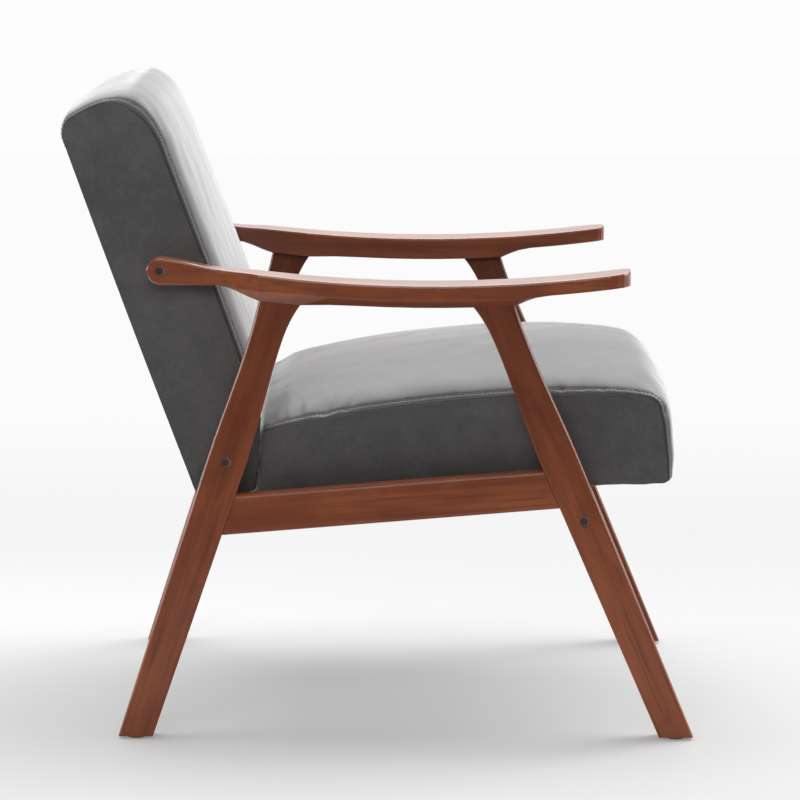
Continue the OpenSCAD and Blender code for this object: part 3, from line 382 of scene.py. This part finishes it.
def seat_side():
    """The seat's side seam from the rear foot round: along, up, crown along, crown up, draw, tuck."""
    rear, front, high, drop, slant, peak = seat_rear, 354, seat_high, 17.5, seat_slant, 0.55
    crown, front_crown, nose_r, foot_r, toe_r, heel_r = 51, 16.5, 18, 14, 7, 9
    nose = (331.3, 87.5)
    # The length of the top seam, where the nose hands over to it, and how far the toe hangs
    long, top_front, toe_drop = 496.5, 337.5, 2.2

    def dip(s): return 2.9 * max(0, (s - 290) / 36) ** 2
    def seam(s): return high - drop * (((s + rear) / long - peak) / peak) ** 2 - dip(s)
    def rear_s(t): return slant * (t / high - 0.5) - rear
    def crown_at(s): return crown * (1 - 0.33 * abs(2 * (s + rear) / long - 0.95) ** 3) + 1.15 * dip(s)
    def sag(s): return -toe_drop * ease((s - 290) / 25)
    def squeeze(t): return -10 * ease((26 - t) / 4) * ease(t / 10)
    heel_t = seam(-rear) - heel_r
    out = [(p[0], p[1], squeeze(p[1]), 0, 0.3, lerp(5, 7, i / 12))
           for i, p in enumerate(arc(190, 270, 12, foot_r, (rear_s(foot_r) + foot_r, foot_r)))]
    start = out[-1][0]
    for i in range(1, 40):
        s = lerp(start, front - toe_r, i / 40)
        out.append((s, 0.01 + 0.35 * (1 + math.sin(2.1 * i)) * (i > 20) + sag(s), 0, 0, 0.3 + 0.3 * sind(4.5 * i),
                    7 * min(1, (40 - i) / 5)))
    out += [(p[0], p[1], front_crown * 0.8 * (p[0] - front + toe_r) / toe_r, 0, 0.2, 0)
            for p in arc(270, 360, 8, toe_r, (front - toe_r, toe_r - toe_drop))]
    for i in range(1, 17):
        t = lerp(toe_r - toe_drop, 90, i / 17)
        full = lerp(0.8, 1, min(1, i / 4)) + 0.4 * ease((t - 40) / 50)
        out.append((front - 4.5 * max(0, (t - 30) / 60) ** 2, t, front_crown * full, 0, 0.6 * sind(10.6 * i), 0))
    for a in np.linspace(8, 70, 19):
        out.append((nose[0] + nose_r * cosd(a), nose[1] + nose_r * sind(a), 1.4 * front_crown * cosd(a) ** 1.8,
                    crown_at(top_front) * sind(a) ** 1.4, 0.1, 0))
    for i in range(1, 80):
        s = lerp(top_front, heel_r - rear, i / 84.8)
        out.append((s, seam(s), 0, crown_at(s), sind(180 * i / 88), 0))
    for a in np.linspace(90, 180, 13):
        out.append((rear_s(heel_t) + heel_r + heel_r * cosd(a), heel_t + heel_r * sind(a), 0,
                    crown_at(-rear) * cosd(a - 90), 0.2, 5 * ease((a - 90) / 90)))
    for i in range(1, 16):
        t = lerp(heel_t, foot_r, i / 16)
        out.append((rear_s(t), t, squeeze(t), 0, 0.2 + 0.4 * sind(11.25 * i), 5))
    return out


def spread(points, gap):
    """Points along a closed outline at even steps, each with its own values and its place on the run."""
    table = np.array(points + points[:1])
    run = np.concatenate([[0], np.cumsum(np.hypot(*np.diff(table[:, :2], axis=0).T))])
    at = np.linspace(0, run[-1], int(round(run[-1] / gap)), endpoint=False)
    return np.stack([np.interp(at, run, table[:, k]) for k in range(table.shape[1])], axis=1), at, run[-1]


class Pad:
    """A boxed pad. Its surface is a closed grid: steps round the seam, and lines from one side strip
    over the seam, the wide panel and the other seam to the other side strip. The ends are flat."""

    def __init__(self, outline, half, draw, roll, loose, spine, place):
        self.outline, self.half, self.draw, self.roll, self.loose = outline, half, draw, roll, loose
        self.spine, self.place = spine, place

    def rise(self, y, share, width):
        """How much of its crown the wide panel has at a place across: a quick roll at the seam, then a swell."""
        return (1 - share) * (1 - abs(y / self.half) ** 2.3) + share * (1 - math.exp((abs(y) - self.half) / width))

    def grid(self, gap, inner, rows):
        """inner: distances in mm from the seam into the side strip. rows: distances into the panel."""
        ring, at, run = spread(self.outline, gap)
        flat = ring[:, :2]
        (ax, ay), (bx, by) = self.spine
        way = np.array([bx - ax, by - ay], float)
        t = np.clip(((flat - (ax, ay)) @ way) / (way @ way), 0, 1)
        goal = np.array([ax, ay]) + t[:, None] * way
        reach = np.linalg.norm(goal - flat, axis=1)
        lines, depth = [], []
        for d in inner:
            moved = flat + (goal - flat) * (0.62 * d / inner[-1] * np.minimum(1, inner[-1] / 0.62 / reach))[:, None]
            out = self.half - self.draw * lerp(ring[:, 4], 0.6, ease(d / inner[-1])) + 0.9 * ease(d / inner[-1])
            short = np.clip(ring[:, 5] - d, 0, None)
            out -= ring[:, 5] - np.sqrt(np.clip(ring[:, 5] ** 2 - short ** 2, 0, None))
            lines.append(np.column_stack([moved[:, 0], out, moved[:, 1]]))
            depth.append(-d)
        side, side_depth = lines[::-1], depth[::-1]
        across = [self.half - d for d in rows] + [0] + [d - self.half for d in rows][::-1]
        panel = []
        for y in across:
            k = y / self.half
            along = np.where(ring[:, 2] < 0, self.rise(y, 1, 9), self.rise(y, *self.roll[:2]))
            up = self.rise(y, *self.roll[2:])
            panel.append(np.column_stack([ring[:, 0] + ring[:, 2] * along,
                                          k * (self.half - self.draw * ring[:, 4] - ring[:, 5]),
                                          ring[:, 1] + ring[:, 3] * up]))
        other = [line * (1, -1, 1) for line in lines]
        points = np.array(side + panel + other)
        depth = np.array(side_depth + [self.half - abs(y) for y in across] + side_depth[::-1])
        return points, depth, at, run, ring


def grid_faces(lines, n):
    out = [tuple(range(n - 1, -1, -1))]
    for r in range(lines - 1):
        for i in range(n):
            j = (i + 1) % n
            out.append((r * n + i, r * n + j, (r + 1) * n + j, (r + 1) * n + i))
    out.append(tuple((lines - 1) * n + i for i in range(n)))
    return out


def grid_normals(points):
    """Outward normals of a closed grid of lines, by differences along and across it."""
    along = np.roll(points, -1, axis=1) - np.roll(points, 1, axis=1)
    across = np.gradient(points, axis=0)
    normal = np.cross(across, along)
    return normal / np.maximum(1e-9, np.linalg.norm(normal, axis=2))[..., None]


def resample(values, old_lines, new_lines, old_at, new_at, run):
    """Carries values on a coarse grid over to a finer one, smoothly round the run and across the lines."""
    n = len(old_at)
    position = new_at / run * n
    base = np.floor(position).astype(int)
    f = (position - base)[None, :, None]
    a, b, c, d = (values[:, (base + k) % n] for k in (-1, 0, 1, 2))
    out = 0.5 * (2 * b + (c - a) * f + (2 * a - 5 * b + 4 * c - d) * f ** 2 + (3 * b - a - 3 * c + d) * f ** 3)
    index = np.clip(np.searchsorted(old_lines, new_lines) - 1, 0, len(old_lines) - 2)
    g = (new_lines - old_lines[index]) / (old_lines[index + 1] - old_lines[index])
    return soften(out[index] * (1 - g)[:, None, None] + out[index + 1] * g[:, None, None], 3)


def soften(values, times):
    """Evens out values on a closed grid, the more often the wider."""
    for _ in range(times):
        values = 0.5 * values + 0.25 * (np.roll(values, 1, axis=1) + np.roll(values, -1, axis=1))
        above = np.concatenate([values[:1], values[:-1]])
        below = np.concatenate([values[1:], values[-1:]])
        values = 0.5 * values + 0.25 * (above + below)
    return values


def inflate(name, points, hold, swell):
    """Blows the cover up as cloth from a slightly smaller shape, its seams held, and returns its points."""
    lines, n = points.shape[:2]
    flat = points.reshape(-1, 3)
    thing = mesh_object(name, flat, grid_faces(lines, n), None)
    pins = thing.vertex_groups.new(name="held")
    for i, weight in enumerate(hold.reshape(-1)):
        if weight > 0:
            pins.add([i], float(weight), "REPLACE")
    cloth = thing.modifiers.new("cloth", "CLOTH")
    set_up = cloth.settings
    set_up.quality = 5
    set_up.mass = 0.3
    set_up.tension_stiffness = set_up.compression_stiffness = 12
    set_up.shear_stiffness = 6
    set_up.bending_stiffness = 0.8
    set_up.use_pressure = True
    set_up.uniform_pressure_force = 4
    set_up.vertex_group_mass = "held"
    set_up.pin_stiffness = 0.6
    set_up.shrink_min = -swell
    set_up.effector_weights.gravity = 0
    cloth.collision_settings.use_collision = False
    for step in range(1, 21):
        bpy.context.scene.frame_set(step)
    shape = thing.evaluated_get(bpy.context.evaluated_depsgraph_get()).data
    out = np.empty(len(flat) * 3)
    shape.vertices.foreach_get("co", out)
    bpy.context.scene.frame_set(1)
    bpy.data.objects.remove(thing)
    return out.reshape(points.shape)


def make_pad(name, pad, material, corners, bottom, calm, seed):
    """corners: place on the run, spread, count, depth and length of creases. bottom: shares of the run
    that stay smooth, as nothing shows there. calm: the place on the run where the seam's detail is weak."""
    rng = np.random.default_rng(seed)
    fine_step, coarse_step, most_move, free_from = 3.7, 9, 2.2, 30
    wide = [0, 0.6, 1.3, 2.2, 3.2, 4.2, 5.0, stitch_in, 6.4, 7.4, 9, 11, 13.5, 16.5, 20]
    fine_rows = wide + list(np.linspace(24, pad.half - 4, int((pad.half - 28) / 4.2)))
    fine_inner = [0.6, 1.2, 2, 3, 4.5, 6.5, 9, 12, 16, 21, 27, 34]
    goal, depth, at, run, ring = pad.grid(fine_step, fine_inner, fine_rows)
    lines = len(goal)
    normal = grid_normals(goal)
    middle_line = goal.mean(axis=(0, 1))
    if np.sum(normal * (goal - middle_line)) < 0:
        normal = -normal
    normal[depth < 0] = np.sign(goal[depth < 0][..., 1:2]) * (0, 1, 0)
    shape = goal.copy()
    rows = [0, 6, 13, 20] + list(np.linspace(28, pad.half - 9, int((pad.half - 37) / 9)))
    inner = [8, 20]
    coarse, coarse_depth, coarse_at, _, coarse_ring = pad.grid(coarse_step, inner, rows)
    out_way = grid_normals(coarse)
    if np.sum(out_way * (coarse - middle_line)) < 0:
        out_way = -out_way
    free = np.clip(coarse_depth / free_from, 0, 1)
    start = coarse - 4.0 * free[:, None, None] * out_way
    hold = np.repeat((coarse_depth <= 0).astype(float)[:, None], coarse.shape[1], axis=1)
    blown = inflate(name + "_cloth", start / 1000, hold, 0.006) * 1000
    rise = np.sum((blown - coarse) * out_way, axis=2)
    rise = soften(rise, 1) - soften(rise, 9)
    loose = np.clip((coarse_ring[:, 2] + coarse_ring[:, 3]) / 8, 0, 1) * (coarse_ring[:, 2] >= 0)
    rise = pad.loose * np.clip(rise, -most_move, most_move) * free[:, None] * loose[None, :]
    move = out_way * rise[..., None]
    order = np.cumsum(np.concatenate([[0], np.linalg.norm(np.diff(coarse, axis=0), axis=2).mean(axis=1)]))
    fine_order = np.cumsum(np.concatenate([[0], np.linalg.norm(np.diff(goal, axis=0), axis=2).mean(axis=1)]))
    fine_order *= order[-1] / fine_order[-1]
    shape += resample(move, order, fine_order, coarse_at, at, run)

    # The seam lies in a groove; the band up to the topstitch stands up; the panel swells behind it
    d = depth
    groove = np.where(d < 0, -0.4 * np.exp(-(d / 0.5) ** 2),
                      -1.3 * np.exp(-(d / 0.9) ** 2) + 0.15 * np.exp(-((d - 2.9) / 1.5) ** 2)
                      - 0.45 * np.exp(-((d - stitch_in) / 1.2) ** 2) + 0.1 * np.exp(-((d - 10) / 4) ** 2))
    lift = np.repeat(groove[:, None], len(at), axis=1)
    # Small puckers where the thread gathers the leather, stronger at some places than at others
    sides = np.where(np.arange(lines) < lines // 2, 0, 1)
    for side in (0, 1):
        along = np.zeros(len(at))
        for length in (7.5, 9.7, 12.9, 18.5):
            turns = max(1, round(run / length))
            along += np.sin(2 * np.pi * turns * at / run + rng.uniform(0, 6.28)) * rng.uniform(0.6, 1)
        patch = 0.5 + 0.5 * np.sin(2 * np.pi * 5 * at / run + rng.uniform(0, 6.28)) * np.sin(
            2 * np.pi * 11 * at / run + rng.uniform(0, 6.28))
        fall = np.where(d > 0, 0.16 * np.exp(-np.abs(d - 6) / 9), 0.07 * np.exp(-np.abs(d) / 7)) * (np.abs(d) > 0.5)
        lift += (fall * (sides == side))[:, None] * (along * patch)[None, :]
    # Creases that the corners pull into the leather
    for where, width, count, depth_mm, length in corners:
        for side in (0, 1):
            for _ in range(count):
                spot = where * run + rng.uniform(-width, width)
                slope = rng.uniform(-0.9, 0.9)
                long = length * rng.uniform(0.6, 1.3)
                deep = depth_mm * rng.uniform(0.5, 1)
                for k in np.nonzero(sides == side)[0]:
                    if d[k] < 1:
                        continue
                    gap = (at - spot - slope * d[k] + run / 2) % run - run / 2
                    fade = math.exp(-(d[k] / long) ** 2) * min(1, d[k] / 4)
                    lift[k] -= deep * np.exp(-(gap / (2.2 + d[k] * 0.06)) ** 2) * fade
    # Groove, puckers and creases fade out along the foot of the pad, and never stand proud of a flat stretch
    keep = np.ones(len(at))
    for low, high in bottom:
        inside = (at / run > low) & (at / run < high)
        keep[inside] = 0.0
    keep = np.convolve(np.concatenate([keep[-4:], keep, keep[:4]]), np.ones(9) / 9, "valid")
    lift *= keep[None, :]
    shut = (ring[:, 2] <= 0) & (ring[:, 3] == 0)
    lift[:, shut] = np.minimum(lift[:, shut], 0)
    lift *= 1 - 0.7 * np.exp(-((at / run - calm) / 0.02) ** 2)
    shape += normal * lift[..., None]
    placed = np.array([pad.place(p) for p in (shape / 1000).reshape(-1, 3)])
    thing = mesh_object(name, placed, grid_faces(lines, len(at)), material)
    # Painted shade for the leather's colour: strongest in the seam's groove, half as strong along the topstitch row.
    painted_seam_shade = np.exp(-((d - 0.2) / 1.1) ** 2) + 0.5 * np.exp(-((d - stitch_in) / 0.9) ** 2)
    thing.data.attributes.new("seam", "FLOAT", "POINT").data.foreach_set("value", np.repeat(painted_seam_shade, len(at)))
    whole = bmesh.new()
    whole.from_mesh(thing.data)
    bmesh.ops.recalc_face_normals(whole, faces=whole.faces)
    ends = [f for f in whole.faces if len(f.verts) > 4]
    bmesh.ops.triangulate(whole, faces=ends)
    whole.to_mesh(thing.data)
    whole.free()
    for face in thing.data.polygons:
        face.use_smooth = True
    stitch_lines = []
    row = int(np.argmin(np.abs(d[:lines // 2] - stitch_in)))
    for k in (row, lines - 1 - row):
        line = np.array([pad.place(p) for p in (shape[k] + normal[k] * 0.35) / 1000])
        stitch_lines.append(line[(keep > 0.5) & ~shut])
    return thing, stitch_lines


grey = leather("grey_leather")
seat_pad = Pad(seat_side(), seat_half, 4, (0.5, 7, 0.29, 13), 0.7, ((-80, 56), (300, 60)), from_seat)
seat_creases = [(0.50, 8, 6, 1.0, 14), (0.58, 50, 26, 0.7, 9), (0.87, 42, 18, 1.3, 34)]
seat, seat_stitches = make_pad("seat_pad", seat_pad, grey, seat_creases, [(0.0, 0.40)], 0.92, 3)
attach(seat, "root")
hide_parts("seat_cover", "seat_foam")


# Back pad.
# The same leather over foam and webbing on a hidden wooden frame, with a strip on each side.
# One panel runs from the heel up the front and over the top to the rear.
def back_side():
    up, down, fore, aft, crown, top_crown, rear_crown = 453, 50, 55.4, 52, 24, 16.5, 1
    head_r, nose_w, nose_h, heel_r, foot_r = 22, 52, 75, 12, 4
    # How far the top falls to the rear, how much of its crown is left there, the front's dish, the heel's gap
    fall, rear_share, dish, gap = 3.5, 0.88, 0.8, 0.7

    def seat_point(s, t):
        x = s * math.cos(seat_lean) - t * math.sin(seat_lean) - rear_bolt[0] * 1000
        z = seat_z * 1000 + s * math.sin(seat_lean) + t * math.cos(seat_lean) - rear_bolt[1] * 1000
        return (x * math.cos(back_lean) + z * math.sin(back_lean), z * math.cos(back_lean) - x * math.sin(back_lean))

    def heel_line(t): return seat_point(seat_slant * (t / seat_high - 0.5) - seat_rear - gap, t)
    low, high = heel_line(20), heel_line(80)
    slope = (high[0] - low[0]) / (high[1] - low[1])
    def heel_at(b): return low[0] + slope * (b - low[1])
    heel_top = low[1] + (fore - low[0]) / slope
    def crown_at(b): return crown * ease((b - heel_top) / 90)
    nose = (fore - dish - nose_w, up - nose_h)
    out = [(p[0], p[1], 0, 0, 0.2, 0) for p in arc(180, 270, 10, heel_r, (heel_r - aft, heel_r - down))]
    x1, b1 = heel_at(-down) - foot_r, foot_r - down
    out += [(lerp(heel_r - aft, x1, i / 8), -down, 0, 0, 0.2, 0.4 * i) for i in range(1, 8)]
    for i in range(9):
        f = i / 8
        out.append(((1 - f) ** 2 * x1 + 2 * f * (1 - f) * heel_at(-down) + f * f * heel_at(b1),
                    (1 - f ** 2) * -down + f * f * b1, 0, 0, 0.2, 3))
    out += [(heel_at(lerp(b1, heel_top, i / 16)), lerp(b1, heel_top, i / 16), 0, 0, 0.2 + 0.02 * i, 3 - i / 5.4)
            for i in range(1, 16)]
    for i in range(1, 80):
        b = lerp(heel_top, nose[1], i / 80)
        out.append((fore - dish * cosd(2.25 * i) ** 2, b, crown_at(b), 0, 0.5 * (1 - i / 80) + 0.5 * sind(2.25 * i), 0))
    for i in range(25):
        a = 3.75 * i
        out.append((nose[0] + nose_w * cosd(a), nose[1] + nose_h * sind(a),
                    crown * max(0, cosd(a)) ** 0.45 + 5 * sind(2 * a) ** 2,
                    top_crown * max(0, sind(a)) ** 1.1 + 9.5 * sind(2 * a) ** 2, 0.1, 0))
    for i in range(1, 10):
        f = i / 10
        out.append((lerp(nose[0], head_r - aft, f), up - fall * f ** 2, 0,
                    top_crown * lerp(1, rear_share, f), 0.1 + 0.3 * sind(180 * f), 0))
    for a in np.linspace(98, 180, 13):
        out.append((head_r - aft + head_r * cosd(a), up - fall - head_r + head_r * sind(a), rear_crown * 0.5 * cosd(a),
                    top_crown * rear_share * max(0, sind(a)), 0.1, 0))
    for i in range(1, 60):
        f = i / 60
        out.append((-aft - 1.4 * (1 - (2 * f - 1) ** 2), lerp(up - fall - head_r, heel_r - down, f),
                    -rear_crown * sind(180 * f), 0, 0.2 + 0.8 * sind(180 * f), 0))
    return out


back_half = 256.7
back_pad = Pad(back_side(), back_half, 3, (0.56, 9, 0.52, 11), 0.15, ((4, 20), (4, 390)), from_back)
back, back_stitches = make_pad("back_pad", back_pad, grey,
                               [(0.50, 14, 5, 0.35, 14)], [(0.0, 0.085), (0.965, 1.0)], 0.59, 5)
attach(back, "root")
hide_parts("back_cover", "back_foam")


# Topstitch.
# Grey polyester thread in a row beside each seam, one small raised stitch after another.
# Each stitch is a rounded bead of thread that sinks into the leather at both ends.
def stitch_tree():
    tree = bpy.data.node_groups.new("topstitch", "GeometryNodeTree")
    face = tree.interface
    face.new_socket("Geometry", in_out="INPUT", socket_type="NodeSocketGeometry")
    for name, value in (("Stitch Step", 0.0052), ("Stitch Length", 0.0040), ("Thread Width", 0.0012)):
        face.new_socket(name, in_out="INPUT", socket_type="NodeSocketFloat").default_value = value
    face.new_socket("Thread", in_out="INPUT", socket_type="NodeSocketMaterial")
    face.new_socket("Geometry", in_out="OUTPUT", socket_type="NodeSocketGeometry")

    def add(kind, links=None, **settings):
        node = tree.nodes.new(kind)
        for name, value in settings.items():
            setattr(node, name, value)
        for name, value in (links or {}).items():
            if hasattr(value, "is_output"):
                tree.links.new(value, node.inputs[name])
            else:
                node.inputs[name].default_value = value
        return node

    given = add("NodeGroupInput").outputs
    curve = add("GeometryNodeMeshToCurve", {"Mesh": given["Geometry"]})
    steps = add("GeometryNodeResampleCurve", {"Curve": curve.outputs[0], "Length": given["Stitch Step"]}, mode="LENGTH")
    bead = add("GeometryNodeMeshUVSphere", {"Segments": 8, "Rings": 6, "Radius": 0.5})
    size = add("ShaderNodeCombineXYZ", {"X": given["Stitch Length"], "Y": given["Thread Width"],
                                        "Z": given["Thread Width"]})
    tangent = add("GeometryNodeInputTangent")
    turned = add("FunctionNodeAlignRotationToVector", {"Vector": tangent.outputs[0]}, axis="X")
    beads = add("GeometryNodeInstanceOnPoints", {"Points": steps.outputs[0], "Instance": bead.outputs[0],
                                                "Rotation": turned.outputs[0], "Scale": size.outputs[0]})
    real = add("GeometryNodeRealizeInstances", {"Geometry": beads.outputs[0]})
    dressed = add("GeometryNodeSetMaterial", {"Geometry": real.outputs[0], "Material": given["Thread"]})
    tree.links.new(dressed.outputs[0], add("NodeGroupOutput").inputs[0])
    return tree


material, shader, place = new_material("grey_thread")
twist = place.node("ShaderNodeTexWave", {"Vector": place.placed(turn=(0.5, 0.5, 0.3)), "Scale": 900.0,
                                         "Distortion": 1.0})
set_inputs(shader, {"Base Color": twist.between((0.11, 0.107, 0.105, 1), (0.24, 0.235, 0.23, 1)), "Roughness": 0.6,
                    "Normal": twist.bump(0.3, 0.0002)})
stitches = stitch_tree()
for name, paths in (("seat_stitches", seat_stitches), ("back_stitches", back_stitches)):
    points, edges = [], []
    for path in paths:
        first = len(points)
        points += [tuple(p) for p in path]
        edges += [(first + i, first + i + 1) for i in range(len(path) - 1)
                  if (Vector(path[i]) - Vector(path[i + 1])).length < 0.012]
    line = bpy.data.meshes.new(name + "_line")
    line.from_pydata(points, edges, [])
    guide = bpy.data.objects.new(name + "_line", line)
    bpy.context.scene.collection.objects.link(guide)
    sewn = guide.modifiers.new("stitches", "NODES")
    sewn.node_group = stitches
    for item in stitches.interface.items_tree:
        if item.in_out == "INPUT" and item.name == "Thread":
            sewn[item.identifier] = material
    done = bpy.data.meshes.new_from_object(guide.evaluated_get(bpy.context.evaluated_depsgraph_get()))
    done.name = name
    thread = bpy.data.objects.new(name, done)
    bpy.context.scene.collection.objects.link(thread)
    for face in done.polygons:
        face.use_smooth = True
    bpy.data.objects.remove(guide)
    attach(thread, "root")
